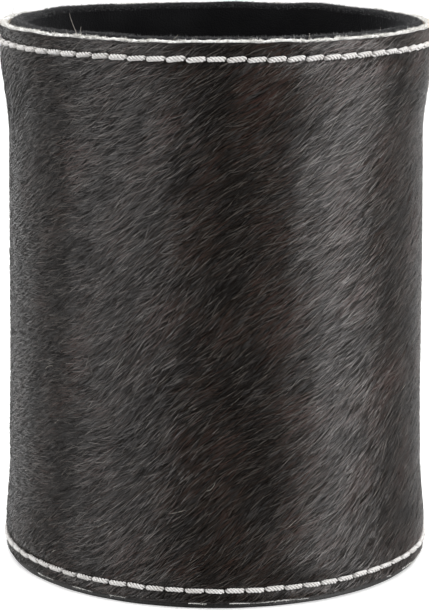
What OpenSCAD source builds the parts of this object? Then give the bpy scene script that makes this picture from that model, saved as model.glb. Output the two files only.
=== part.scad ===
// Dice cup: a sleeve of hair-on hide around a lined board tube.
// Millimetres, +Z up. The origin is the centre of the base's underside, and the
// hide's closing seam faces +Y.

/* [Cup] */
// Overall height, from the base to the lip
cup_h = 100; // [90:1:120]
// Inside radius of the lined mouth
mouth_r = 35; // [33:0.1:40]

/* [Wall] */
// Thickness of the velour lining
lining_t = 0.5; // [0.4:0.05:0.6]
// Thickness of the wound board tube
core_t = 1; // [0.8:0.1:1.4]
// Thickness of the hide's leather
leather_t = 1.35; // [1.2:0.05:1.6]
// Depth of the hair on the hide
nap_t = 0.5; // [0.4:0.05:0.7]
// Depth of the lining's turn-over at either end of the tube
turn_over = 12; // [9:0.5:18]
// Radius of the rolled lip
lip_roll = 1.35; // [1.1:0.05:1.35]

/* [Base] */
// Thickness of the base cover
cover_t = 0.9; // [0.7:0.1:1.5]
// Radius of the base cover
cover_r = 39; // [38.2:0.1:39.4]
// Thickness of the base board
board_t = 2.5; // [1.5:0.1:4]
// Thickness of the felt under the cup's floor
padding_t = 2; // [1:0.1:3]

/* [Stitching] */
// Stitches in the row at the rim
rim_stitches = 72; // [60:1:76]
// Stitches in the row at the foot
foot_stitches = 70; // [60:1:76]
// Distance of the rim's row from the leather's top edge
rim_inset = 3.1; // [2.5:0.1:4.5]
// Distance of the foot's row from the leather's bottom edge
foot_inset = 2.5; // [2.2:0.1:4]
// Diameter of the rows' outer thread
needle_d = 0.8; // [0.7:0.05:0.85]
// Diameter of the rows' inner thread
bobbin_d = 0.44; // [0.36:0.02:0.48]
// Crosses in the closing seam
seam_crosses = 20; // [14:1:22]
// Distance of the seam's holes from its joint
seam_w = 2.5; // [2:0.1:3]
// Diameter of the seam's thread
seam_d = 0.6; // [0.5:0.02:0.65]

/* [Hidden] */
$fn = 96;
THREAD_FN = 24;
BACK = 90;              // the seam's angle about Z
FRONT = 270;

// Radii of the straight tube and what is turned over it
core_r = mouth_r + lining_t + core_t;
fold_r = core_r + lining_t;

// How far the hide's flesh side stands off the tube: widest over the turn-overs
gap_foot = 1.7;
gap_low = 0.72;
gap_high = 0.05;
gap_rim = 1.6;

// Clearances and arc steps
slip = 0.05;            // between layers that lie on each other
sewn_gap = 0.02;        // the least clearance between sewn layers
over_cut = 1;           // how far a cut reaches past what it cuts
corner_steps = 4;
nap_steps = 3;
lip_steps = 16;

// Heights of the hide
hide_z0 = cover_t + slip;
hide_z1 = cup_h - 0.4;
bare_edge = 0.55;       // leather left bare of hair at either edge
edge_bevel = 0.35;
rim_flat = cup_h - 6;   // above this the hide is straight again
foot_flat = 6;          // below this too
mid_hi = cup_h - 20;
mid_lo = 19;

// Stitch rows
rim_row_z = hide_z1 - rim_inset;
foot_row_z = hide_z0 + foot_inset;
thread_sink = 0.12;     // height of a thread's centre over the leather
knot_share = 0.15;      // how much thicker a thread is where it turns into a hole, as a share
drawn = 0.52;           // a thread's width inside its hole, as a share of its diameter
turn_gap = 0.02;        // between the two threads of a row, half-way through the leather
hole_play = 0.16;       // a hole over the thread drawn through it
groove = 1.6;           // width of the furrow that a row presses into the hair
furrow_slope = 0.15;    // how much narrower the furrow's bottom is on either side
furrow_in = 0.34;       // how far the furrow's bottom is pressed into the leather
bobbin_r = fold_r + 0.3;
tape_w = 4.8;
tape_in = bobbin_r + bobbin_d * (1 + knot_share) / 2 + sewn_gap / 2;
row_hole_l = 5;         // deep enough to pass through tape and leather

// Closing seam
seam_gap = 0.3;
seam_z0 = 8;
seam_z1 = cup_h - 8;
seam_pitch = (seam_z1 - seam_z0) / seam_crosses;
seam_clear = 1;         // the flesh side's skived channel beyond the holes
skive_t = 0.68;         // depth of that channel over the tube
seam_inner_r = core_r + 0.35;
seam_hole_l = 6;

// Base insert
insert_r = mouth_r - 0.1;
board_r = insert_r - lining_t - slip;
insert_z = cover_t + lining_t;
floor_z = insert_z + board_t + padding_t + lining_t;
hem_w = 8;
fold_bevel = 0.3;       // where the velour turns over the floor's edge
cover_corner = 0.3;     // rounding of the base cover's edge
lining_slit = 0.3;      // joint of the lining's sleeve

function mix(a, b, t) = a + (b - a) * t;
function smooth(t) = let (u = min(1, max(0, t))) u * u * (3 - 2 * u);
function ramp(a, b, n) = [for (i = [0:n]) mix(a, b, i / n)];
function arc(x, z, r, from, to, n) =
    [for (i = [0:n]) let (a = mix(from, to, i / n)) [x + r * cos(a), z + r * sin(a)]];
function backwards(list) = [for (i = [len(list) - 1:-1:0]) list[i]];

// The flesh side's distance from the tube at height z
function hide_gap(z) =
    z < mid_lo ? mix(gap_foot, gap_low, smooth((z - foot_flat) / (mid_lo - foot_flat)))
    : z > mid_hi ? mix(gap_high, gap_rim, smooth((z - mid_hi) / (rim_flat - mid_hi)))
    : mix(gap_low, gap_high, (z - mid_lo) / (mid_hi - mid_lo));
function flesh_r(z) = core_r + hide_gap(z);
function leather_r(z) = flesh_r(z) + leather_t;
function nap_r(z) = leather_r(z) + nap_t;

// Heights where the hide's outline turns, between its two straight ends
bends = concat(ramp(foot_flat, mid_lo, 7), ramp(mid_hi, rim_flat, 7));

// A straight rod between two points
module rod(p, q, d) {
    v = q - p;
    translate(p)
        rotate([0, acos(v.z / norm(v)), atan2(v.y, v.x)])
            cylinder(d = d, h = norm(v), $fn = THREAD_FN);
}

// A ring with a square section
module ring(inner, outer, z0, z1) {
    rotate_extrude()
        translate([inner, z0])
            square([outer - inner, z1 - z0]);
}

// A radial hole at every stitch of a row
module row_holes(n, z, d) {
    for (i = [0:n - 1])
        rotate([0, 0, BACK + (i + 0.5) * 360 / n])
            translate([fold_r, 0, z])
                rotate([0, 90, 0])
                    cylinder(d = d, h = row_hole_l, $fn = THREAD_FN);
}

// One thread of a row: a chain of straight stitches, which turns inwards or
// outwards at each hole and ends at turn_r, half-way through the leather
module thread_row(n, row_r, z, d, turn_r) {
    step = 360 / n;
    for (i = [0:n - 1]) {
        rotate([0, 0, BACK + (i + 0.5) * step])
            translate([row_r, 0, z]) {
                sphere(d = d * (1 + knot_share), $fn = THREAD_FN);
                rotate([0, turn_r < row_r ? -90 : 90, 0])
                    cylinder(d = d * drawn, h = abs(turn_r - row_r), $fn = THREAD_FN);
            }
        rotate([0, 0, BACK + i * step])
            translate([row_r * cos(step / 2), 0, z])
                rotate([90, 0, 0])
                    cylinder(d = d, h = 2 * row_r * sin(step / 2),
                             center = true, $fn = THREAD_FN);
    }
}

// Places of the seam's holes: side is -1 or 1, i counts up from the foot
function seam_z(i) = seam_z0 + i * seam_pitch;
function on_circle(x, r) = sqrt(r * r - x * x);
function outer_hole(side, i) =
    [side * seam_w,
     on_circle(seam_w, leather_r(seam_z(i)) + thread_sink),
     seam_z(i)];
function inner_hole(side, i) =
    [side * seam_w, on_circle(seam_w, seam_inner_r), seam_z(i)];

// Hair side and flesh side of the band that the seam's thread crosses
module seam_bands() {
    half = asin((seam_w + seam_clear) / core_r);
    band_z = concat([seam_z0 - seam_clear],
                    [for (z = bends) if (z > seam_z0 && z < seam_z1) z],
                    [seam_z1 + seam_clear]);
    rotate([0, 0, BACK - half])
        rotate_extrude(angle = 2 * half)
            polygon(concat([for (z = band_z) [leather_r(z) - sewn_gap, z]],
                           [for (z = backwards(band_z)) [nap_r(z) + over_cut, z]]));
    rotate([0, 0, BACK - half])
        rotate_extrude(angle = 2 * half)
            translate([core_r - over_cut, seam_z0 - seam_clear])
                square([over_cut + skive_t, seam_z1 - seam_z0 + 2 * seam_clear]);
}

module hide_outline() {
    up = concat([hide_z0], bends, [hide_z1]);
    nap_z0 = hide_z0 + bare_edge;
    nap_z1 = hide_z1 - bare_edge;
    furrow = function (z) [
        [nap_r(z), z + groove / 2],
        [leather_r(z) - furrow_in, z + groove / 2 - furrow_slope],
        [leather_r(z) - furrow_in, z - groove / 2 + furrow_slope],
        [nap_r(z), z - groove / 2]
    ];
    polygon(concat(
        [for (z = up) [flesh_r(z), z]],
        [[leather_r(hide_z1) - edge_bevel, hide_z1],
         [leather_r(hide_z1), hide_z1 - edge_bevel],
         [leather_r(nap_z1), nap_z1]],
        arc(leather_r(nap_z1), nap_z1 - nap_t, nap_t, 60, 0, nap_steps),
        furrow(rim_row_z),
        [for (z = backwards(bends)) [nap_r(z), z]],
        furrow(foot_row_z),
        arc(leather_r(nap_z0), nap_z0 + nap_t, nap_t, 0, -60, nap_steps),
        [[leather_r(nap_z0), nap_z0],
         [leather_r(hide_z0) - edge_bevel, hide_z0]]
    ));
}

// The hide's revolved section, open along the seam's joint
module hide_wrap() {
    difference() {
        rotate_extrude() hide_outline();
        translate([-seam_gap / 2, 0, 0])
            cube([seam_gap, core_r * 2, cup_h]);
    }
}

module hide_skived() {
    difference() {
        hide_wrap();
        seam_bands();
    }
}

module hide_rim_punched() {
    difference() {
        hide_skived();
        row_holes(rim_stitches, rim_row_z, needle_d * drawn + hole_play);
    }
}

module hide_foot_punched() {
    difference() {
        hide_rim_punched();
        row_holes(foot_stitches, foot_row_z, needle_d * drawn + hole_play);
    }
}

module hide_sleeve() {
    color("#3b332e")
        difference() {
            hide_foot_punched();
            for (side = [-1, 1], i = [0:seam_crosses])
                translate([side * seam_w, core_r - over_cut, seam_z(i)])
                    rotate([-90, 0, 0])
                        cylinder(d = seam_d * drawn + hole_play, h = seam_hole_l, $fn = THREAD_FN);
        }
}

module seam_thread() {
    color("#ece8de") {
        for (side = [-1, 1], i = [0:seam_crosses]) {
            translate(outer_hole(side, i))
                sphere(d = seam_d * (1 + knot_share), $fn = THREAD_FN);
            rod(inner_hole(side, i), outer_hole(side, i), seam_d * drawn);
        }
        for (side = [-1, 1], i = [0:seam_crosses - 1])
            rod(outer_hole(side, i), outer_hole(-side, i + 1), seam_d);
        for (i = [0:seam_crosses])
            rod(inner_hole(-1, i), inner_hole(1, i), bobbin_d);
    }
}

module needle_thread(n, z) {
    color("#ece8de")
        thread_row(n, leather_r(z) + thread_sink, z, needle_d,
                   flesh_r(z) + leather_t / 2 + turn_gap);
}

module bobbin_thread(n, z) {
    color("#ece8de")
        thread_row(n, bobbin_r, z, bobbin_d, flesh_r(z) + leather_t / 2);
}

module stay_tape(n, z) {
    color("#cfc5ad")
        difference() {
            ring(tape_in, flesh_r(z) - sewn_gap, z - tape_w / 2, z + tape_w / 2);
            row_holes(n, z, bobbin_d * drawn + hole_play);
            translate([-seam_gap / 2, 0, 0])
                cube([seam_gap, core_r * 2, cup_h]);
        }
}

module wall_core() {
    color("#a58d68")
        ring(core_r - core_t, core_r, cover_t + lining_t, cup_h - lining_t);
}

// A tube of velour, turned over both ends of the board tube and rolled into a lip
module wall_lining() {
    core_in = core_r - core_t;
    core_top = cup_h - lining_t;
    core_foot = cover_t + lining_t;
    lip_x = mouth_r + lip_roll;
    lip_z = cup_h - lip_roll;
    color("#17171a")
        difference() {
            rotate_extrude()
                polygon(concat(
                    [[mouth_r, cover_t]],
                    arc(lip_x, lip_z, lip_roll, 180, 0, lip_steps),
                    [[fold_r, lip_z - lip_roll],
                     [fold_r, cup_h - turn_over],
                     [core_r, cup_h - turn_over],
                     [core_r, core_top], [core_in, core_top],
                     [core_in, core_foot], [core_r, core_foot],
                     [core_r, turn_over], [fold_r, turn_over],
                     [fold_r, cover_t]]
                ));
            rotate([0, 0, FRONT])
                translate([mouth_r - over_cut, -lining_slit / 2, 0])
                    cube([lining_t + over_cut, lining_slit, cup_h - turn_over]);
        }
}

// Velour wrapped over the floor's felt and turned under its board
module floor_lining() {
    color("#17171a")
        rotate_extrude()
            polygon([
                [0, floor_z], [insert_r - fold_bevel, floor_z], [insert_r, floor_z - fold_bevel],
                [insert_r, cover_t], [board_r - hem_w, cover_t],
                [board_r - hem_w, insert_z], [board_r + slip, insert_z],
                [board_r + slip, floor_z - lining_t], [0, floor_z - lining_t]
            ]);
}

module floor_padding() {
    color("#6d6a66")
        translate([0, 0, insert_z + board_t])
            cylinder(r = board_r, h = padding_t);
}

module base_board() {
    color("#a58d68")
        translate([0, 0, insert_z])
            cylinder(r = board_r, h = board_t);
}

module base_cover() {
    color("#121212")
        rotate_extrude()
            polygon(concat(
                [[0, 0]],
                arc(cover_r - cover_corner, cover_corner, cover_corner, -90, 0, corner_steps),
                arc(cover_r - cover_corner, cover_t - cover_corner, cover_corner, 0, 90, corner_steps),
                [[0, cover_t]]
            ));
}

hide_sleeve();
seam_thread();
needle_thread(rim_stitches, rim_row_z);  // rim_needle_thread
bobbin_thread(rim_stitches, rim_row_z);  // rim_bobbin_thread
stay_tape(rim_stitches, rim_row_z);  // rim_stay_tape
needle_thread(foot_stitches, foot_row_z);  // foot_needle_thread
bobbin_thread(foot_stitches, foot_row_z);  // foot_bobbin_thread
stay_tape(foot_stitches, foot_row_z);  // foot_stay_tape
wall_core();
wall_lining();
floor_lining();
floor_padding();
base_board();
base_cover();
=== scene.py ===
"""Looks of the hair-on dice cup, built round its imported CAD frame.

Shapes are worked out in millimetres, on the part's own axes (+Z up, the closing seam at +Y),
and turned into metres when their meshes are made.
"""

import math

import bpy
import numpy as np
from mathutils import Matrix, Vector


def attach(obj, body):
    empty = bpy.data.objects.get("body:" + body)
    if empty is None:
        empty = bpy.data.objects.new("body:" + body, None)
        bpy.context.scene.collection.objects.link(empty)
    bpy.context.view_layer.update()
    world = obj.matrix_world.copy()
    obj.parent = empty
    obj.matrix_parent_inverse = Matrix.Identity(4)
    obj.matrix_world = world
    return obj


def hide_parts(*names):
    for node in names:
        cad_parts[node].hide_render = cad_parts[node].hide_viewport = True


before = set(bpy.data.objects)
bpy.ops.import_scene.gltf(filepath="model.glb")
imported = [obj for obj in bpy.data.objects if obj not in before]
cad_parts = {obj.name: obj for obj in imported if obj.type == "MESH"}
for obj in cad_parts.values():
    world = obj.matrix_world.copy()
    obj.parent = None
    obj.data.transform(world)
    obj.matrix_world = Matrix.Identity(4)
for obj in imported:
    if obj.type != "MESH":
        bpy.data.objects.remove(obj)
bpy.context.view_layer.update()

MM = 0.001
TAU = 2 * math.pi
BACK = TAU / 4  # the seam's angle about Z

# ---------------------------------------------------------------- dimensions, as in the CAD
CUP_H = 100.0
MOUTH_R = 35.0
LINING_T = 0.5
CORE_R = 36.5
FOLD_R = 37.0
LEATHER_T = 1.35
TURN_OVER = 12.0
LIP_ROLL = 1.35
COVER_T = 0.9
COVER_R = 39.0
HIDE_Z0, HIDE_Z1 = 0.95, 99.6
RIM_N, FOOT_N = 72, 70  # stitches
RIM_Z, FOOT_Z = HIDE_Z1 - 3.1, HIDE_Z0 + 2.5
SEAM_HALF = 0.15
SEAM_W = 2.5
SEAM_Z0, SEAM_Z1, SEAM_CROSSES = 8.0, 92.0, 20
INSERT_R = 34.9
BOARD_R = 34.35
INSERT_Z = COVER_T + LINING_T
FLOOR_Z = 6.4

# ---------------------------------------------------------------- dimensions of the looks alone
RIM_BARE, FOOT_BARE = 0.13, 0.12  # leather left bare of hair
EDGE_PHASE = 249  # shift in mm along the foot that sets where the cut edge shows
HAIRS = 160000
HAIR_RINGS = 3
HAIR_SECTORS = 13
HAIR_LENGTH, HAIR_LENGTH_SPREAD = 3.9, 1.0
HAIR_SHORTEST, HAIR_LONGEST = 2.2, 6.5
HAIR_TURN = 0.18  # spread of the hairs' directions, in radians
HAIR_THINNEST, HAIR_THICKEST = 0.036, 0.064
HAIR_FLAT = 0.11  # a hair's height as a share of its width
PLY_TWIST = 1.9  # length of one turn of a row's thread
LENS = 140.93
CAMERA_AT = (-0.0002, -0.4394, 0.1383)  # in metres
LOOKS_DOWN, CAMERA_ROLL = 11.83, 0.18  # in degrees


def smooth(t):
    t = np.clip(t, 0, 1)
    return t * t * (3 - 2 * t)


def bump(x, width):
    """1 at x = 0, falling to 0 within about two widths."""
    return np.exp(-((x / width) ** 2))


GAP_FOOT, GAP_LOW, GAP_HIGH, GAP_RIM = 1.7, 0.72, 0.05, 1.6
FOOT_FLAT, MID_LO, MID_HI, RIM_FLAT = 6, 19, 80, 94  # the heights at which the gap has those widths


def hide_gap(z):
    """How far the flesh side stands off the board tube."""
    low = GAP_FOOT + (GAP_LOW - GAP_FOOT) * smooth((z - FOOT_FLAT) / (MID_LO - FOOT_FLAT))
    high = GAP_HIGH + (GAP_RIM - GAP_HIGH) * smooth((z - MID_HI) / (RIM_FLAT - MID_HI))
    middle = GAP_LOW + (GAP_HIGH - GAP_LOW) * (z - MID_LO) / (MID_HI - MID_LO)
    return np.where(z < MID_LO, low, np.where(z > MID_HI, high, middle))


def leather_r(z):
    return CORE_R + hide_gap(z) + LEATHER_T


# ---------------------------------------------------------------- noise and meshes
def waves(seed, shortest, longest, n=14):
    """A smooth random function of (arc, height) in mm, about -1 to 1."""
    rng = np.random.default_rng(seed)
    length = np.exp(rng.uniform(math.log(shortest), math.log(longest), n))
    turn, phase = rng.uniform(0, TAU, (2, n))
    kx, kz = TAU / length * np.cos(turn), TAU / length * np.sin(turn)
    size = (length / longest) ** 0.35
    size = size / math.sqrt((size**2).sum() / 2) / 1.6

    def at(x, z):
        out = np.zeros(np.broadcast(x, z).shape)
        for i in range(n):
            out += size[i] * np.sin(kx[i] * x + kz[i] * z + phase[i])
        return out

    return at


def mesh_object(name, points, faces, materials, face_material=None, smooth_shaded=True):
    """points in mm; faces is a list of arrays of corner numbers, one face a row."""
    mesh = bpy.data.meshes.new(name)
    mesh.vertices.add(len(points))
    mesh.vertices.foreach_set("co", (np.asarray(points) * MM).astype(np.float32).ravel())
    sizes = np.concatenate([np.full(len(f), f.shape[1]) for f in faces])
    corners = np.concatenate([f.ravel() for f in faces]).astype(np.int32)
    mesh.loops.add(len(corners))
    mesh.loops.foreach_set("vertex_index", corners)
    mesh.polygons.add(len(sizes))
    starts = np.concatenate([[0], np.cumsum(sizes)[:-1]]).astype(np.int32)
    mesh.polygons.foreach_set("loop_start", starts)
    for m in materials:
        mesh.materials.append(m)
    if face_material is not None:
        mesh.polygons.foreach_set("material_index", np.asarray(face_material, np.int32))
    mesh.update(calc_edges=True)
    mesh.validate()
    if smooth_shaded:
        mesh.shade_smooth()
    piece = bpy.data.objects.new(name, mesh)
    bpy.context.scene.collection.objects.link(piece)
    return piece


def placed(piece, slot, *nodes):
    """The piece rides with the cup, in place of the CAD nodes; slot is not used."""
    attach(piece, "root")
    if nodes:
        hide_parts(*nodes)
    return piece


def grid_faces(rows, cols, rows_closed=False, cols_closed=False):
    """Quads of a grid of points numbered row by row, facing the way of (row step) x (column step)."""
    r = np.arange(rows if rows_closed else rows - 1)
    c = np.arange(cols if cols_closed else cols - 1)
    r, c = np.meshgrid(r, c, indexing="ij")
    r1, c1 = (r + 1) % rows, (c + 1) % cols
    quads = [r * cols + c, r1 * cols + c, r1 * cols + c1, r * cols + c1]
    return np.stack([q.ravel() for q in quads], axis=1)


def turned(profile, cols=360, wobble=None):
    """Points and faces of a closed (radius, height) outline turned about Z."""
    profile = np.asarray(profile, float)
    angle = np.arange(cols) / cols * TAU
    r = np.repeat(profile[:, :1], cols, axis=1)
    z = np.repeat(profile[:, 1:], cols, axis=1)
    if wobble is not None:
        r, z = wobble(r, z, angle[None, :])
    points = np.stack([r * np.cos(angle), r * np.sin(angle), z], axis=2).reshape(-1, 3)
    return points, grid_faces(len(profile), cols, True, True)


def arc(x, z, r, start, end, n):
    a = np.radians(np.linspace(start, end, n + 1))
    return np.stack([x + r * np.cos(a), z + r * np.sin(a)], axis=1)


def line(*corners, step=1.0):
    """Points along a polyline, at most step apart."""
    out = [np.array(corners[0], float)]
    for a, b in zip(corners, corners[1:]):
        a, b = np.array(a, float), np.array(b, float)
        n = max(1, math.ceil(np.linalg.norm(b - a) / step))
        out += [a + (b - a) * i / n for i in range(1, n + 1)]
    return np.array(out)


def strands(paths, radius, up, sides=3, flat=1.0, roll=0.0):
    """Closed tapering tubes.

    paths is (n, k, 3), radius (n,) or (n, k), and up (n, k, 3) is the way that corner 0 of each ring
    points. flat squeezes the tubes along it, and roll (n,) turns each about its length.
    """
    n, k, _ = paths.shape
    radius = np.broadcast_to(radius[:, None] if radius.ndim == 1 else radius, (n, k))
    along = np.gradient(paths, axis=1)
    along /= np.linalg.norm(along, axis=2, keepdims=True) + 1e-12
    side = np.cross(along, up)
    side /= np.linalg.norm(side, axis=2, keepdims=True) + 1e-12
    out = np.cross(side, along)
    roll = np.broadcast_to(roll, n)[:, None, None]
    out, side = out * np.cos(roll) + side * np.sin(roll), side * np.cos(roll) - out * np.sin(roll)
    turn = np.arange(sides) / sides * TAU
    ring = out[:, :, None] * (flat * np.cos(turn)[:, None]) + side[:, :, None] * np.sin(turn)[:, None]
    points = paths[:, :, None] + ring * radius[:, :, None, None]
    points = points.reshape(n * k * sides, 3)
    base = (np.arange(n) * k * sides)[:, None]
    quads = (grid_faces(k, sides, cols_closed=True)[None] + base[:, :, None]).reshape(-1, 4)
    first = np.arange(sides)[None] + base
    last = (np.arange(sides)[None] + (k - 1) * sides + base)[:, ::-1]
    return points, [quads, first, last]


# ---------------------------------------------------------------- materials
def material(name, color, roughness, **constants):
    m = bpy.data.materials.new(name)
    m.use_nodes = True
    p = m.node_tree.nodes["Principled BSDF"]
    p.inputs["Base Color"].default_value = (*color, 1)
    p.inputs["Roughness"].default_value = roughness
    for key, value in constants.items():
        p.inputs[key.replace("_", " ")].default_value = value
    return m


def node(m, kind, **inputs):
    n = m.node_tree.nodes.new(kind)
    for key, value in inputs.items():
        if key in n.inputs:
            n.inputs[key].default_value = value
        else:
            setattr(n, key, value)
    return n


def link(m, a, out, b, into):
    m.node_tree.links.new(a.outputs[out], b.inputs[into])


def principled(m):
    return m.node_tree.nodes["Principled BSDF"]


def noise(m, scale, detail=4.0, stretch=(1, 1, 1), turn=(0, 0, 0)):
    """Noise over the object's own coordinates in metres; scale is in cells a metre."""
    where = node(m, "ShaderNodeTexCoord")
    fit = node(m, "ShaderNodeMapping")
    fit.inputs["Scale"].default_value = stretch
    fit.inputs["Rotation"].default_value = turn
    n = node(m, "ShaderNodeTexNoise", Scale=scale, Detail=detail)
    link(m, where, "Object", fit, "Vector")
    link(m, fit, "Vector", n, "Vector")
    return n


def colors(m, source, stops):
    """Colours the base by a texture's value."""
    ramp = node(m, "ShaderNodeValToRGB")
    while len(ramp.color_ramp.elements) < len(stops):
        ramp.color_ramp.elements.new(0.5)
    for e, (at, color) in zip(ramp.color_ramp.elements, stops):
        e.position, e.color = at, (*color, 1)
    link(m, source, 0, ramp, "Fac")
    link(m, ramp, "Color", principled(m), "Base Color")


def bumpy(m, *sources):
    """Adds bump from (texture, distance in mm) pairs."""
    last = None
    for source, distance in sources:
        b = node(m, "ShaderNodeBump", Strength=1.0, Distance=distance * MM)
        link(m, source, 0, b, "Height")
        if last:
            link(m, last, "Normal", b, "Normal")
        last = b
    link(m, last, "Normal", principled(m), "Normal")


HAIR_TONES = {
    "black": (0.006, 0.0045, 0.0036),
    "charcoal": (0.013, 0.0105, 0.0088),
    "slate": (0.025, 0.022, 0.0195),
    "umber": (0.033, 0.0225, 0.0168),
    "brown": (0.047, 0.030, 0.0225),
    "russet": (0.060, 0.031, 0.0245),
    "ash": (0.115, 0.102, 0.09),
    "pale": (0.42, 0.39, 0.34),
}
BLACK, CHARCOAL, ASH, PALE = (list(HAIR_TONES).index(name) for name in ("black", "charcoal", "ash", "pale"))


def hair_materials():
    """One tone each; gloss differs from hair to hair, and along each hair."""
    shine = {"black": 0.1, "charcoal": 0.45, "ash": 0.8}
    out = []
    for name, color in HAIR_TONES.items():
        m = material("hair_" + name, color, 0.24, IOR=1.55)
        principled(m).inputs["Specular IOR Level"].default_value = shine.get(name, 0.6)
        principled(m).inputs["Specular Tint"].default_value = (1.0, 0.97, 0.97, 1)
        scales = noise(m, 5000, 2)
        spread = node(m, "ShaderNodeMapRange")
        for key, value in (("To Min", 0.14), ("To Max", 0.34)):
            spread.inputs[key].default_value = value
        link(m, scales, 0, spread, "Value")
        link(m, spread, "Result", principled(m), "Roughness")
        bumpy(m, (scales, 0.007))
        out.append(m)
    return out


def plain_tone(name, color, roughness, sheen=0.0):
    """For short fibres: one tone, with roughness and bump from noise."""
    m = material(name, color, roughness)
    principled(m).inputs["Sheen Weight"].default_value = sheen
    principled(m).inputs["Sheen Roughness"].default_value = 0.4
    grain = noise(m, 6000, 2)
    spread = node(m, "ShaderNodeMapRange")
    for key, value in (("To Min", roughness - 0.12), ("To Max", roughness + 0.08)):
        spread.inputs[key].default_value = value
    link(m, grain, 0, spread, "Value")
    link(m, spread, "Result", principled(m), "Roughness")
    bumpy(m, (grain, 0.02))
    return m


def skin_material():
    m = material("hide_under_hair", (0.02, 0.017, 0.015), 0.6)
    n = noise(m, 900, 6, stretch=(1, 1, 0.35), turn=(0, 0.6, 0))
    colors(m, n, [(0.3, (0.006, 0.005, 0.005)), (0.6, (0.02, 0.016, 0.014)), (0.8, (0.045, 0.03, 0.023))])
    bumpy(m, (n, 0.25))
    return m


def raw_edge_material():
    m = material("leather_cut_edge", (0.8, 0.78, 0.72), 0.92)
    fine = noise(m, 2600, 5)
    broad = noise(m, 260, 3)
    colors(m, fine, [(0.25, (0.68, 0.66, 0.62)), (0.45, (0.88, 0.865, 0.84)), (0.7, (0.95, 0.94, 0.92))])
    bumpy(m, (broad, 0.25), (fine, 0.2))
    return m


def flesh_material():
    m = material("leather_flesh_side", (0.5, 0.45, 0.38), 0.95)
    n = noise(m, 1800, 5)
    colors(m, n, [(0.3, (0.36, 0.31, 0.25)), (0.7, (0.56, 0.50, 0.42))])
    bumpy(m, (n, 0.15))
    return m


def thread_material(name, dark, light):
    m = material(name, light, 0.62)
    p = principled(m)
    p.inputs["Sheen Weight"].default_value = 0.25
    p.inputs["Sheen Roughness"].default_value = 0.5
    fibres = noise(m, 5200, 4)
    dirt = noise(m, 420, 3)
    mixed = node(m, "ShaderNodeMath", operation="MULTIPLY")
    link(m, fibres, 0, mixed, 0)
    link(m, dirt, 0, mixed, 1)
    colors(m, mixed, [(0.12, dark), (0.34, light)])
    bumpy(m, (fibres, 0.05))
    return m


def velour_material(name, sheen):
    m = material(name, (0.006, 0.006, 0.007), 0.9)
    p = principled(m)
    p.inputs["Specular IOR Level"].default_value = 0.2
    p.inputs["Sheen Weight"].default_value = sheen
    p.inputs["Sheen Roughness"].default_value = 0.32
    p.inputs["Sheen Tint"].default_value = (0.62, 0.64, 0.66, 1)
    pile = noise(m, 3200, 3)
    shade = noise(m, 120, 3)
    colors(m, shade, [(0.3, (0.0035, 0.0035, 0.0042)), (0.7, (0.009, 0.009, 0.010))])
    bumpy(m, (shade, 0.3), (pile, 0.18))
    return m


def base_leather_material():
    m = material("base_leather", (0.008, 0.008, 0.008), 0.48)
    cells = node(m, "ShaderNodeTexVoronoi", Scale=1500.0, feature="DISTANCE_TO_EDGE")
    where = node(m, "ShaderNodeTexCoord")
    link(m, where, "Object", cells, "Vector")
    fine = noise(m, 4000, 3)
    broad = noise(m, 90, 4)
    colors(m, broad, [(0.3, (0.005, 0.005, 0.005)), (0.7, (0.014, 0.013, 0.012))])
    bumpy(m, (cells, 0.12), (fine, 0.04))
    return m


def plain_weave_material(name, dark, light):
    m = material(name, light, 0.85)
    n = noise(m, 1500, 4)
    colors(m, n, [(0.35, dark), (0.65, light)])
    bumpy(m, (n, 0.1))
    return m


# ---------------------------------------------------------------- the hide
ARC_R = 39.0  # arcs on the hide are measured at this radius
HALF_ARC = ARC_R * math.pi - SEAM_HALF - 0.02
wobble_r = waves(11, 22, 90)
wobble_edge = waves(12, 5, 40)
lumps = waves(13, 3, 9)
lip_wave = waves(14, 14, 45)
lip_ripple = waves(51, 6, 30)


def angle_of(arc_mm):
    """Angle about Z of a place on the hide, whose arc is 0 at the front and grows to the right."""
    return -BACK + arc_mm / ARC_R


def to_row(arc_mm, count):
    """Distance in mm along a row of stitches to the nearest of its holes."""
    turns = (angle_of(arc_mm) - BACK) / TAU * count - 0.5
    return (turns - np.round(turns)) * TAU * ARC_R / count


def skin_r(arc_mm, z):
    """Radius of the hide's outer skin, with what the stitching does to it."""
    r = leather_r(z) + 0.10 * wobble_r(arc_mm, z) + 0.035 * lumps(arc_mm, z)
    r = r - 0.15 * bump(z - 90, 4) - 0.12 * bump(z - 11, 4)
    for row_z, count in ((RIM_Z, RIM_N), (FOOT_Z, FOOT_N)):
        dz, ds = z - row_z, to_row(arc_mm, count)
        r = r - 0.34 * bump(dz, 0.55) - 0.10 * bump(dz, 1.6)
        r = r - 0.55 * bump(np.hypot(dz, ds), 0.34)
    # the seam's edges are drawn inwards a little
    seam = HALF_ARC - np.abs(arc_mm)
    return r - 0.25 * bump(seam, 0.6) - 0.12 * bump(seam - SEAM_W, 0.6)


def at(arc_mm, r, z):
    a = angle_of(arc_mm)
    return np.stack(np.broadcast_arrays(r * np.cos(a), r * np.sin(a), z), axis=-1)


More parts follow.
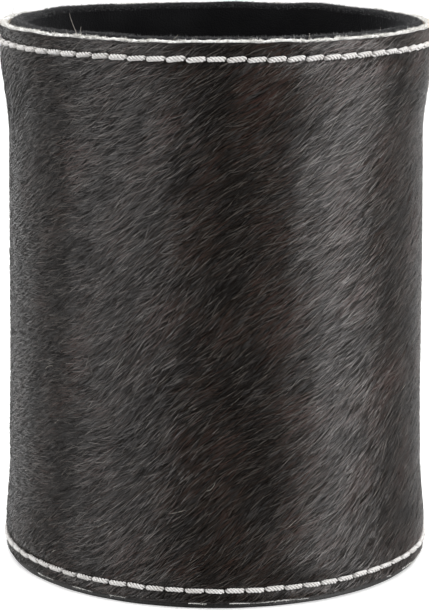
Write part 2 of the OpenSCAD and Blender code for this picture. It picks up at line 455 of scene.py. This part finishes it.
def make_hide(skin, edge, flesh):
    cols = 720
    arcs = np.linspace(-HALF_ARC, HALF_ARC, cols)[None, :]
    fine_foot = np.arange(HIDE_Z0 + FOOT_BARE + 0.05, 6.2, 0.22)
    fine_rim = np.arange(93.8, HIDE_Z1 - RIM_BARE - 0.1, 0.22)
    outer_z = np.concatenate([[HIDE_Z0 + FOOT_BARE], fine_foot, np.linspace(6.6, 93.4, 30), fine_rim,
                              [HIDE_Z1 - RIM_BARE, HIDE_Z1 - 0.2]])
    rows_r, rows_z, kind = [], [], []

    def row(r, z, which):
        rows_r.append(np.broadcast_to(r, arcs.shape)[0])
        rows_z.append(np.broadcast_to(z, arcs.shape)[0])
        kind.append(which)

    rng = np.random.default_rng(21)
    fuzz = rng.normal(0, 1, (12, cols))
    fuzz = (fuzz + np.roll(fuzz, 1, 1) * 0.6) / 1.2
    wave = 0.13 * wobble_edge(arcs, 0)
    for z in outer_z:
        hem = smooth((z - (HIDE_Z1 - 2.5)) / 2.5) * wave + smooth((HIDE_Z0 + 2.5 - z) / 2.5) * wave
        bare = z > HIDE_Z1 - RIM_BARE - 0.01 or z < HIDE_Z0 + FOOT_BARE + 0.01
        rough = 0.03 * fuzz[int(z * 7) % 12] if bare else 0
        row(skin_r(arcs, z) - (0.12 * bump(z - HIDE_Z1, 0.4)) + rough, z + hem, 1 if bare else 0)
    top_in = CORE_R + hide_gap(HIDE_Z1)
    top_out = skin_r(arcs, HIDE_Z1)
    for i, share in enumerate((0.12, 0.35, 0.6, 0.85)):
        r = top_out + (top_in - top_out) * share
        row(r, HIDE_Z1 + wave + 0.07 * fuzz[i] - 0.05 * (share < 0.2), 1)
    row(np.full(cols, top_in), HIDE_Z1 - 0.15 + wave, 1)
    for z in np.concatenate([[97.5], np.linspace(93, 7, 20), [4, HIDE_Z0 + 0.2]]):
        row(CORE_R + hide_gap(z) + 0 * arcs, z, 2)
    foot_in, foot_out = CORE_R + hide_gap(HIDE_Z0), skin_r(arcs, HIDE_Z0)
    for i, share in enumerate((0.1, 0.4, 0.7, 0.92)):
        row(foot_in + (foot_out - foot_in) * share, HIDE_Z0 + 0.04 * np.abs(fuzz[i + 4]), 1)
    points = at(arcs, np.array(rows_r), np.array(rows_z)).reshape(-1, 3)
    n = len(kind)
    quads = grid_faces(n, cols, rows_closed=True)[:, ::-1]
    kind = np.array(kind)
    of_quad = np.repeat(np.maximum(kind, np.roll(kind, -1)) * (kind != 0) * (np.roll(kind, -1) != 0)
                        + np.where((kind == 0) ^ (np.roll(kind, -1) == 0), 1, 0), cols - 1)
    # at the foot the cut edge takes the dark colour of the skin under the hair, but for some stretches
    dark_edge_stretch = (wobble_edge(arcs[0, 1:] + EDGE_PHASE, 0) < 0.1)[None] & (np.array(rows_z)[:, :1] < HIDE_Z0 + 1)
    of_quad = np.where(dark_edge_stretch.ravel() & (of_quad == 1), 0, of_quad)
    loop = np.arange(n)[None] * cols
    ends = [loop, (loop + cols - 1)[:, ::-1]]
    piece = mesh_object("hide_leather", points, [quads, *ends], [skin, edge, flesh],
                        np.concatenate([of_quad, [1, 1]]))
    return placed(piece, "hair_on_hide", "hide_sleeve")


# ---------------------------------------------------------------- the hair
flow_broad = waves(31, 16, 60)
flow_fine = waves(32, 4, 14)
patches = waves(33, 9, 36)
shades = waves(34, 3, 12)


def hair_lay(arc_mm, z):
    """The hair's direction over the hide in radians: 0 runs to the right, a quarter turn runs up."""
    turn = np.interp(arc_mm, [-122, -32, -8, 32, 122], [22, 23, 38, 34, 26])
    lay = np.radians(turn + 8 * (0.5 - z / CUP_H) + 8 * flow_broad(arc_mm, z) + 2.5 * flow_fine(arc_mm, z))
    near_rim = bump(np.maximum(z - RIM_Z, 0) - 3, 2.2) * (z > RIM_Z)
    return lay * (1 - 0.45 * near_rim)


def hair_paths(rng, count, steps, length, spread):
    """Hairs that follow the lay, as (count, steps) arcs and heights."""
    a = rng.uniform(-HALF_ARC, HALF_ARC, count)
    z = rng.uniform(HIDE_Z0 + 0.9 - 4, HIDE_Z1 - 0.9, count)
    off = rng.normal(0, spread, count)
    bend = rng.normal(0, spread * 0.5, count)
    arcs, zs = [a], [z]
    for i in range(steps - 1):
        turn = hair_lay(a, z) + off + bend * (i / (steps - 1) - 0.5)
        a = a + np.cos(turn) * length / (steps - 1)
        z = z + np.sin(turn) * length / (steps - 1)
        arcs.append(a)
        zs.append(z)
    return np.stack(arcs, 1), np.stack(zs, 1)


def clipped(arcs, zs, low, high):
    """Each path's points moved along it so that it stays between the hide's edges and seam."""
    n, k = arcs.shape
    t = np.linspace(0, 1, 33)
    fine_a = np.stack([np.interp(t, np.linspace(0, 1, k), row) for row in arcs])
    fine_z = np.stack([np.interp(t, np.linspace(0, 1, k), row) for row in zs])
    inside = ((fine_z > low[:, None]) & (fine_z < high[:, None])
              & (np.abs(fine_a) < HALF_ARC - 0.03))
    first = inside.argmax(axis=1)
    gone = ~inside & (np.arange(33)[None] > first[:, None])
    last = np.where(gone.any(1), gone.argmax(1) - 1, 32)
    keep = inside.any(1) & (last - first >= 3)
    first, last = first[keep], last[keep]
    where = first[:, None] + (last - first)[:, None] * np.linspace(0, 1, k)[None]
    i = np.minimum(where.astype(int), 31)
    f = where - i
    rows = np.arange(len(where))[:, None]
    fine_a, fine_z = fine_a[keep], fine_z[keep]
    return (fine_a[rows, i] * (1 - f) + fine_a[rows, i + 1] * f,
            fine_z[rows, i] * (1 - f) + fine_z[rows, i + 1] * f, keep)


def crease(piece, steps):
    """Sharpens three-cornered strands at underside and ends, so that only the outer side is smooth."""
    ends = np.zeros(len(piece.data.edges) * 2, np.int32)
    piece.data.edges.foreach_get("vertices", ends)
    ends = ends.reshape(-1, 2)
    corner, ring = ends % 3, ends // 3
    flank = (corner[:, 0] == corner[:, 1]) & (corner[:, 0] != 0)
    cap = (ring[:, 0] == ring[:, 1]) & ((ring[:, 0] % steps == 0) | (ring[:, 0] % steps == steps - 1))
    piece.data.attributes.new("sharp_edge", "BOOLEAN", "EDGE").data.foreach_set("value", flank | cap)


def make_hair(tones):
    """Short flat-lying hair, each with its own height and tone."""
    rng = np.random.default_rng(41)
    length = np.clip(rng.normal(HAIR_LENGTH, HAIR_LENGTH_SPREAD, HAIRS), HAIR_SHORTEST, HAIR_LONGEST)
    arcs, zs = hair_paths(rng, HAIRS, HAIR_RINGS, length, HAIR_TURN)
    t = np.linspace(0, 1, HAIR_RINGS)[None]
    across = rng.normal(0, 0.045, HAIRS)[:, None] * (1 - t) + rng.normal(0, 0.05, HAIRS)[:, None] * t
    slide = rng.uniform(-0.9, 0.9, HAIRS)[:, None]
    turn = hair_lay(arcs[:, 0], zs[:, 0])[:, None]
    a = arcs - across * np.sin(turn) + slide * np.cos(turn)
    z = zs + across * np.cos(turn) + slide * np.sin(turn)
    low = HIDE_Z0 + FOOT_BARE + rng.uniform(-0.08, 0.2, HAIRS)
    high = HIDE_Z1 - RIM_BARE + rng.uniform(-0.25, 0.1, HAIRS)
    a, z, keep = clipped(a, z, low, high)
    n = len(a)
    # how high each hair lies over the skin, root to tip
    height = rng.random(HAIRS)[keep]
    top = 0.04 + 0.06 * rng.random(n) + 0.27 * height
    rise = np.array([-0.3, 0.65, 1.0])[None] * top[:, None]
    pressed = np.ones_like(z)
    for row_z in (RIM_Z, FOOT_Z):
        pressed *= 1 - 0.85 * bump(z - row_z, 0.75)
    pressed *= 1 - 0.6 * bump(HALF_ARC - np.abs(a), 0.8)
    r = skin_r(a, z) + rise * pressed
    paths = at(a, r, z)
    up = at(a, np.ones_like(r), np.zeros_like(r))
    thick = rng.uniform(HAIR_THINNEST, HAIR_THICKEST, n)[:, None] * np.array([0.85, 1.0, 0.3])[None]
    roll = rng.normal(0, 0.07, n) + rng.normal(0, 0.16, HAIRS)[keep]
    # tones: russet and brown patches, dark elsewhere, black for the lowest hairs as painted shade, and a
    # scatter of ash, real pale hair kept to the upper hairs as painted highlight
    patch = patches(a[:, 1], z[:, 1]) + 0.35 * shades(a[:, 1], z[:, 1])
    value = 0.7 * patch + 0.35 * bump(a[:, 1] - 28, 34) + rng.normal(0, 0.2, n)
    value = value + rng.normal(0, 0.6, HAIRS)[keep]
    tone = CHARCOAL + np.digitize(value, [-0.2, 0.3, 0.8, 1.25])  # charcoal .. russet
    # painted shade: hairs that lie low in the coat take the black tone
    tone = np.where(height + rng.normal(0, 0.15, HAIRS)[keep] < 0.37, BLACK, tone)
    # ash goes only among the upper hairs, a painted highlight on top of the coat
    tone = np.where((height > 0.5) & (rng.random(HAIRS)[keep] < 0.16), ASH, tone)
    tone = np.where(rng.random(n) < 0.0003, PALE, tone)
    which = ((a[:, 0] + HALF_ARC) / (2 * HALF_ARC) * HAIR_SECTORS).astype(int)
    which = np.clip(which, 0, HAIR_SECTORS - 1)
    for s in range(HAIR_SECTORS):
        pick = which == s
        points, faces = strands(paths[pick], thick[pick], up[pick], flat=HAIR_FLAT, roll=roll[pick])
        of_face = np.concatenate([np.repeat(tone[pick], (HAIR_RINGS - 1) * 3), tone[pick], tone[pick]])
        piece = mesh_object(f"hair_{s + 1}", points, faces, tones, of_face)
        crease(piece, HAIR_RINGS)
        placed(piece, "hair_on_hide")


# ---------------------------------------------------------------- thread
def twisted(path, up, radius, twist, phase, plies=3, sides=8):
    """Plies wound round a path (k, 3), as closed tubes; twist is in mm a turn, right-handed."""
    along = np.gradient(path, axis=0)
    step = np.linalg.norm(np.diff(path, axis=0), axis=1)
    travelled = np.concatenate([[0], np.cumsum(step)])
    along /= np.linalg.norm(along, axis=1, keepdims=True)
    side = np.cross(along, up)
    side /= np.linalg.norm(side, axis=1, keepdims=True)
    out = np.cross(side, along)
    ends = np.minimum(travelled, travelled[-1] - travelled)
    full = radius * (0.45 + 0.55 * smooth(0.25 + ends / 1.3))
    tubes, ups = [], []
    for i in range(plies):
        a = phase + TAU * i / plies + TAU * travelled / twist
        offset = (full * 0.63)[:, None] * (out * np.cos(a)[:, None] + side * np.sin(a)[:, None])
        tubes.append(path + offset)
        ups.append(out)
    return np.array(tubes), np.array(ups), np.repeat((full * 0.395)[None], plies, axis=0)


def make_row(name, count, row_z, thread, node_name, lean, thick):
    """A row of stitches, of which each leans by lean mm about its middle, the right end up."""
    rng = np.random.default_rng(count)
    tubes, ups, radii = [], [], []
    step = TAU / count
    t = np.linspace(0, 1, 33)
    for i in range(count):
        a0 = BACK + (i - 0.5) * step
        slack = rng.uniform(-0.05, 0.12)
        tilt = lean + rng.uniform(-0.08, 0.08)
        inset = 0.13 + rng.uniform(-0.03, 0.03)
        share = inset / 3.4
        a = a0 + step * (share + (1 - 2 * share) * t)
        arc_mm = ((a + BACK + math.pi) % TAU - math.pi) * ARC_R
        base = leather_r(row_z) + 0.10 * wobble_r(arc_mm, row_z)
        dip = 0.75 * (bump(t, 0.085) + bump(1 - t, 0.085))
        r = base + 0.14 + slack * np.sin(math.pi * t) - dip
        z = row_z + tilt * (2 * t - 1) + rng.uniform(-0.06, 0.06) + 0.05 * np.sin(math.pi * t)
        path = np.stack([r * np.cos(a), r * np.sin(a), z + 0 * a], axis=1)
        up = np.stack([np.cos(a), np.sin(a), 0 * a], axis=1)
        tube, u, rad = twisted(path, up, thick * rng.uniform(0.93, 1.07), PLY_TWIST, rng.uniform(0, TAU))
        tubes.append(tube)
        ups.append(u)
        radii.append(rad)
    points, faces = strands(np.concatenate(tubes), np.concatenate(radii), np.concatenate(ups), sides=8)
    piece = mesh_object(name, points, faces, [thread])
    return placed(piece, "thread", node_name)


def make_seam_thread(thread):
    rng = np.random.default_rng(5)
    pitch = (SEAM_Z1 - SEAM_Z0) / SEAM_CROSSES
    tubes, ups, radii = [], [], []
    t = np.linspace(0, 1, 27)
    for i in range(SEAM_CROSSES):
        for side in (-1, 1):
            z = SEAM_Z0 + (i + t) * pitch + rng.uniform(-0.05, 0.05)
            x = side * SEAM_W * (1 - 2 * t)
            over = 0.34 if side > 0 else 0.02
            base = leather_r(z) + 0.22 + over * bump(t - 0.5, 0.16)
            base = base - 0.9 * (bump(t, 0.06) + bump(1 - t, 0.06))
            a = BACK - x / base
            path = np.stack([base * np.cos(a), base * np.sin(a), z], axis=1)
            up = np.stack([np.cos(a), np.sin(a), 0 * a], axis=1)
            tube, u, rad = twisted(path, up, 0.30, 1.6, rng.uniform(0, TAU))
            tubes.append(tube)
            ups.append(u)
            radii.append(rad)
    points, faces = strands(np.concatenate(tubes), np.concatenate(radii), np.concatenate(ups), sides=8)
    piece = mesh_object("seam_cross_stitches", points, faces, [thread])
    return placed(piece, "thread", "seam_thread")


# ---------------------------------------------------------------- loose fibres
def fibres(name, rng, roots, ways, length, radius, tones, of_fibre, spread=0.45, curl=0.5):
    """Short tapering fibres that start at roots and lean about their ways."""
    n = len(roots)
    way = ways + rng.normal(0, spread, (n, 3))
    way /= np.linalg.norm(way, axis=1, keepdims=True)
    bent = rng.normal(0, curl, (n, 3))
    t = np.array([0, 0.5, 1])[None, :, None]
    paths = roots[:, None] + (way[:, None] * t + bent[:, None] * t * t * 0.5) * length[:, None, None]
    angle = np.arctan2(roots[:, 1], roots[:, 0])
    up = np.stack([-np.sin(angle), np.cos(angle), 0 * angle], axis=1)[:, None] + np.zeros((1, 3, 1))
    thick = radius[:, None] * np.array([1, 0.9, 0.35])[None]
    points, faces = strands(paths, thick, up)
    return mesh_object(name, points, faces, tones,
                       np.concatenate([np.repeat(of_fibre, 6), of_fibre, of_fibre]))


def make_edge_fluff(tones):
    """Leather fibres that stand from the cut edge at the rim and, here and there, at the foot."""
    rng = np.random.default_rng(71)
    tufts, each = 760, 12
    n = tufts * each
    arc_mm = np.repeat(rng.uniform(-HALF_ARC + 0.5, HALF_ARC - 0.5, tufts), each) + rng.normal(0, 0.13, n)
    side = rng.random(n) < 0.2
    out_r = skin_r(arc_mm, HIDE_Z1)
    in_r = CORE_R + hide_gap(HIDE_Z1)
    r = np.where(side, out_r - 0.02, in_r + 0.1 + (out_r - in_r - 0.12) * rng.random(n))
    z = HIDE_Z1 + 0.13 * wobble_edge(arc_mm, 0) - np.where(side, RIM_BARE * rng.random(n), 0.06)
    ways = at(arc_mm, np.where(side, 0.8, 0.1), np.where(side, 0.5, 1.0))
    length = np.repeat(rng.uniform(0.5, 1.25, tufts), each) * rng.uniform(0.16, 0.46, n)
    rim = (at(arc_mm, r, z), ways, length)
    n = 2600
    arc_mm = rng.uniform(-HALF_ARC + 0.1, HALF_ARC - 0.1, n)
    arc_mm = arc_mm[wobble_edge(arc_mm + EDGE_PHASE, 0) > 0.1]
    n = len(arc_mm)
    z = HIDE_Z0 + 0.05 + FOOT_BARE * rng.random(n)
    foot = (at(arc_mm, skin_r(arc_mm, z) - 0.03, z), at(arc_mm, np.full(n, 1.0), np.full(n, 0.1)),
            rng.uniform(0.1, 0.26, n))
    roots, ways, length = (np.concatenate(pair) for pair in zip(rim, foot))
    of_fibre = (rng.random(len(roots)) < 0.25).astype(int)
    radius = rng.uniform(0.02, 0.045, len(roots))
    return placed(fibres("edge_fluff", rng, roots, ways, length, radius, tones, of_fibre), "hair_on_hide")


def lip_offset(angle):
    """How much higher the soft lip stands in some places than in others, in mm."""
    a = angle * ARC_R
    return 0.28 * np.maximum(lip_wave(a, 0), 0) + 0.05 * lip_ripple(a + 40, 0)


def make_lip_pile(tones):
    """The velour's pile where it turns over the rim."""
    rng = np.random.default_rng(72)
    n = 14000
    angle = rng.uniform(0, TAU, n)
    over = np.radians(rng.uniform(5, 170, n))
    r = MOUTH_R + LIP_ROLL + LIP_ROLL * np.cos(over)
    z = CUP_H - LIP_ROLL + LIP_ROLL * np.sin(over) + lip_offset(angle) - 0.06
    roots = np.stack([r * np.cos(angle), r * np.sin(angle), z], axis=1)
    ways = np.stack([np.cos(over) * np.cos(angle), np.cos(over) * np.sin(angle), np.sin(over)], axis=1)
    length = rng.uniform(0.14, 0.36, n)
    of_fibre = rng.choice(len(tones), n, p=(0.5, 0.35, 0.15))
    radius = rng.uniform(0.02, 0.04, n)
    return placed(fibres("lip_pile", rng, roots, ways, length, radius, tones, of_fibre, 0.5, 0.6), "velour")


def make_stray_hairs(tones):
    """A few long hairs that stand free of the rim, and paler ones that lie on the coat."""
    rng = np.random.default_rng(73)
    # arc and height of each root, how it leans along the arc and upwards, its length and its tone
    hairs = [(-25.5, 99.5, -0.6, 1.3, 5.6, PALE), (-24.5, 99.4, -0.2, 1.0, 3.4, PALE),
             (-27.0, 99.5, -1.1, 0.8, 2.6, ASH), (-7.5, 99.5, 0.9, 0.9, 2.2, PALE),
             (-3.0, 99.4, -0.5, 1.0, 2.0, ASH), (5.5, 99.5, 0.7, 1.0, 1.6, ASH),
             (16.0, 99.5, 0.2, 1.2, 1.8, PALE), (31.0, 99.5, 0.5, 1.2, 2.4, ASH),
             (-38.0, 99.5, -0.6, 1.0, 2.2, ASH), (60.0, 99.5, 0.4, 1.0, 3.0, ASH),
             (-70.0, 99.5, -0.5, 1.0, 3.4, PALE), (95.0, 99.4, 0.7, 1.0, 2.6, ASH)]
    paths, ups, radii, tone = [], [], [], []
    t = np.linspace(0, 1, 9)
    for arc_mm, z0, along, rising, length, which in hairs:
        a = arc_mm + along * length * 0.7 * t - 0.5 * along * t * t
        z = z0 + rising * length * 0.7 * t * (1 - 0.25 * t)
        r = skin_r(np.full(9, arc_mm), z0) - 0.5 - 0.6 * t + 0.5 * np.sin(2.2 * t)
        paths.append(at(a, r, z))
        ups.append(at(a, np.ones(9), np.zeros(9)))
        radii.append(0.045 * (1 - 0.6 * t))
        tone.append(which)
    # paler hairs that lie on the coat
    n = 44
    arc_mm, z0 = rng.uniform(-HALF_ARC + 9, HALF_ARC - 9, n), rng.uniform(8, 88, n)
    for i in range(n):
        turn = float(hair_lay(arc_mm[i], z0[i])) + rng.normal(0, 0.45)
        length = rng.uniform(2.0, 5.0)
        turn = turn + rng.normal(0, 0.5) * t
        a = arc_mm[i] + np.cumsum(np.cos(turn)) * length / 9
        z = z0[i] + np.cumsum(np.sin(turn)) * length / 9
        paths.append(at(a, skin_r(a, z) + 0.38 + 0.12 * np.sin(math.pi * t), z))
        ups.append(at(a, np.ones(9), np.zeros(9)))
        radii.append(0.04 * (1 - 0.5 * t))
        tone.append(PALE if i % 5 == 0 else ASH)
    points, faces = strands(np.array(paths), np.array(radii), np.array(ups), sides=5)
    of_face = np.concatenate([np.repeat(tone, 8 * 5), tone, tone])
    return placed(mesh_object("stray_hairs", points, faces, tones, of_face), "hair_on_hide")


# ---------------------------------------------------------------- lining, floor and base
def make_lining(velour):
    lip_x, lip_z = MOUTH_R + LIP_ROLL, CUP_H - LIP_ROLL
    core_in = MOUTH_R + LINING_T
    outline = np.concatenate([
        line((MOUTH_R, COVER_T), (MOUTH_R, lip_z), step=2.0)[:-1],
        arc(lip_x, lip_z, LIP_ROLL, 180, 0, 22),
        line((FOLD_R, lip_z - LIP_ROLL), (FOLD_R, CUP_H - TURN_OVER), step=2.0),
        line((CORE_R + 0.02, CUP_H - TURN_OVER), (CORE_R + 0.02, CUP_H - LINING_T), step=4.0),
        line((core_in, CUP_H - LINING_T), (core_in, INSERT_Z), step=4.0),
        line((CORE_R + 0.02, INSERT_Z), (CORE_R + 0.02, TURN_OVER), step=4.0),
        line((FOLD_R, TURN_OVER), (FOLD_R, COVER_T), step=4.0),
    ])

    def wobble(r, z, angle):
        lip = smooth((z - (CUP_H - 4)) / 3)
        a = angle * ARC_R
        inside = (r < core_in - 0.1) * (z < CUP_H - 3)
        return (r + lip * 0.05 * lip_ripple(a, 2 * z) - inside * 0.05 * lip_ripple(a * 0.7, z),
                z + lip * (lip_offset(angle) - 0.05))

    points, faces = turned(outline, 480, wobble)
    piece = mesh_object("lining_velour", points, [faces[:, ::-1]], [velour])
    placed(piece, "velour", "wall_lining")
    return piece


def crowned(z, radii):
    """Outline points at height z, raised a little towards the middle of the floor."""
    return [(r, z + 0.12 * math.cos(r / INSERT_R * math.pi / 2)) for r in radii]


def make_floor(velour, felt):
    edge = arc(INSERT_R - 1.1, FLOOR_Z - 1.1, 1.1, 90, 0, 8)
    hem_r = INSERT_R - 8.4
    under = edge[::-1] - [0.5, 0.45]
    outline = np.concatenate([
        crowned(FLOOR_Z, np.linspace(0.02, INSERT_R - 1.4, 24)), edge,
        line((INSERT_R, FLOOR_Z - 1.4), (INSERT_R, COVER_T + 0.02), step=1.5),
        line((hem_r, COVER_T + 0.02), (hem_r, INSERT_Z - 0.02), (BOARD_R + 0.05, INSERT_Z - 0.02), step=3),
        under,
        crowned(FLOOR_Z - LINING_T, np.linspace(INSERT_R - 2.2, 0.02, 12)),
    ])
    points, faces = turned(outline, 240)
    piece = mesh_object("floor_velour", points, [faces], [velour])
    placed(piece, "velour", "floor_lining")

    z0, z1 = INSERT_Z + 2.5, FLOOR_Z - LINING_T
    outline = np.concatenate([
        line((0.02, z0), (BOARD_R - 0.3, z0), step=3), arc(BOARD_R - 0.5, z0 + 0.5, 0.5, -90, 0, 4),
        arc(BOARD_R - 0.7, z1 - 0.75, 0.7, 0, 90, 4),
        line((BOARD_R - 1.2, z1 - 0.02), (0.02, z1 + 0.08), step=3),
    ])
    points, faces = turned(outline, 180)
    piece = mesh_object("floor_felt", points, [faces[:, ::-1]], [felt])
    placed(piece, "felt", "floor_padding")


def make_base(leather):
    grain = waves(61, 3, 12)
    outline = np.concatenate([
        line((0.02, 0), (COVER_R - 0.35, 0), step=1.5),
        arc(COVER_R - 0.3, 0.3, 0.3, -80, 0, 4), arc(COVER_R - 0.3, COVER_T - 0.3, 0.3, 0, 90, 4),
        line((COVER_R - 1, COVER_T), (0.02, COVER_T), step=6),
    ])

    def wobble(r, z, angle):
        under = (z < 0.02) * (r < COVER_R - 2)
        rim = (r > COVER_R - 1) * 0.04 * grain(angle * ARC_R, 0)
        return r + rim, z + under * 0.02 * (1 + grain(r * np.cos(angle), r * np.sin(angle)))

    points, faces = turned(outline, 360, wobble)
    piece = mesh_object("base_leather_cover", points, [faces[:, ::-1]], [leather])
    return placed(piece, "base_leather", "base_cover")


# ---------------------------------------------------------------- camera, light and floor
def make_camera():
    camera = bpy.data.objects.new("camera", bpy.data.cameras.new("camera"))
    camera.data.lens = LENS
    camera.data.clip_start = 0.02
    camera.location = CAMERA_AT
    tilt = Matrix.Rotation(math.radians(90 - LOOKS_DOWN), 4, "X")
    roll = Matrix.Rotation(math.radians(CAMERA_ROLL), 4, "Z")
    camera.matrix_world = Matrix.Translation(camera.location) @ tilt @ roll
    bpy.context.scene.collection.objects.link(camera)
    bpy.context.scene.camera = camera


def softbox(name, azimuth, elevation, distance, size, power):
    """An area light that faces the cup's middle. Azimuth 0 is the front and grows to the right."""
    light = bpy.data.lights.new(name, "AREA")
    light.shape, light.size, light.size_y = "RECTANGLE", size[0], size[1]
    light.energy = power
    a, e = math.radians(azimuth), math.radians(elevation)
    away = Vector((math.sin(a) * math.cos(e), -math.cos(a) * math.cos(e), math.sin(e)))
    o = bpy.data.objects.new(name, light)
    o.location = away * distance + Vector((0, 0, 0.05))
    o.rotation_euler = away.to_track_quat("Z", "Y").to_euler()
    bpy.context.scene.collection.objects.link(o)


def make_studio():
    world = bpy.data.worlds.new("studio")
    world.use_nodes = True
    world.node_tree.nodes["Background"].inputs["Color"].default_value = (1, 1, 1, 1)
    # bright behind the cup, dim in front of it, as with a white backdrop
    where = node(world, "ShaderNodeTexCoord")
    split = node(world, "ShaderNodeSeparateXYZ")
    fade = node(world, "ShaderNodeMapRange", interpolation_type="SMOOTHSTEP")
    for key, value in (("From Min", -0.1), ("From Max", 1.0), ("To Min", 0.10), ("To Max", 1.15)):
        fade.inputs[key].default_value = value
    link(world, where, "Generated", split, "Vector")
    link(world, split, "Y", fade, "Value")
    link(world, fade, "Result", world.node_tree.nodes["Background"], "Strength")
    bpy.context.scene.world = world
    bpy.context.scene.view_settings.view_transform = "Standard"
    m = material("studio_floor", (0.9, 0.9, 0.9), 0.9, Emission_Color=(1, 1, 1, 1), Emission_Strength=0.45)
    n = noise(m, 3, 2)
    colors(m, n, [(0.0, (0.93, 0.93, 0.93)), (1.0, (0.95, 0.95, 0.95))])
    size = 4000.0
    corners = ((-size, -size), (size, -size), (size, size), (-size, size))
    points = np.array([(x, y, -0.05) for x, y in corners])
    floor = mesh_object("studio_floor", points, [np.array([[0, 1, 2, 3]])], [m], smooth_shaded=False)
    floor.visible_glossy = False
    floor.visible_diffuse = False
    floor.visible_shadow = False
    softbox("left_box", -65, -2, 0.9, (1.0, 0.85), 5.3)
    softbox("right_box", 59.5, -3, 0.9, (0.66, 0.9), 8.1)
    softbox("top_box", 0, 88, 1.1, (1.6, 1.6), 20)


# ---------------------------------------------------------------- build
make_camera()
make_studio()

skin, edge, flesh = skin_material(), raw_edge_material(), flesh_material()
thread = thread_material("thread_twisted", (0.70, 0.67, 0.64), (0.96, 0.94, 0.925))
velour = velour_material("velour_lining", 0.26)

make_hide(skin, edge, flesh)
hairs = hair_materials()
make_hair(hairs)
make_stray_hairs(hairs)
make_edge_fluff([plain_tone("leather_fibre", (0.92, 0.91, 0.88), 0.85),
                 plain_tone("leather_fibre_dull", (0.55, 0.53, 0.48), 0.85)])
make_lip_pile([plain_tone("pile_black", (0.012, 0.012, 0.013), 0.8, 0.3),
               plain_tone("pile_grey", (0.06, 0.06, 0.062), 0.8, 0.3),
               plain_tone("pile_pale", (0.20, 0.20, 0.20), 0.8, 0.3)])
make_row("rim_stitches", RIM_N, RIM_Z, thread, "rim_needle_thread", 0.12, 0.48)
make_row("foot_stitches", FOOT_N, FOOT_Z, thread, "foot_needle_thread", -0.03, 0.44)
make_seam_thread(thread)
make_lining(velour)
make_floor(velour, plain_weave_material("grey_felt", (0.10, 0.098, 0.095), (0.20, 0.195, 0.19)))
make_base(base_leather_material())

hidden = {
    "wall_core": plain_weave_material("grey_board", (0.30, 0.23, 0.15), (0.44, 0.35, 0.24)),
    "rim_stay_tape": plain_weave_material("stay_tape", (0.50, 0.45, 0.35), (0.70, 0.64, 0.52)),
    "rim_bobbin_thread": thread,
}
for name, same in (("base_board", "wall_core"), ("foot_stay_tape", "rim_stay_tape"),
                   ("foot_bobbin_thread", "rim_bobbin_thread")):
    hidden[name] = hidden[same]
for name, m in hidden.items():
    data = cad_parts[name].data
    data.materials.clear()
    data.materials.append(m)
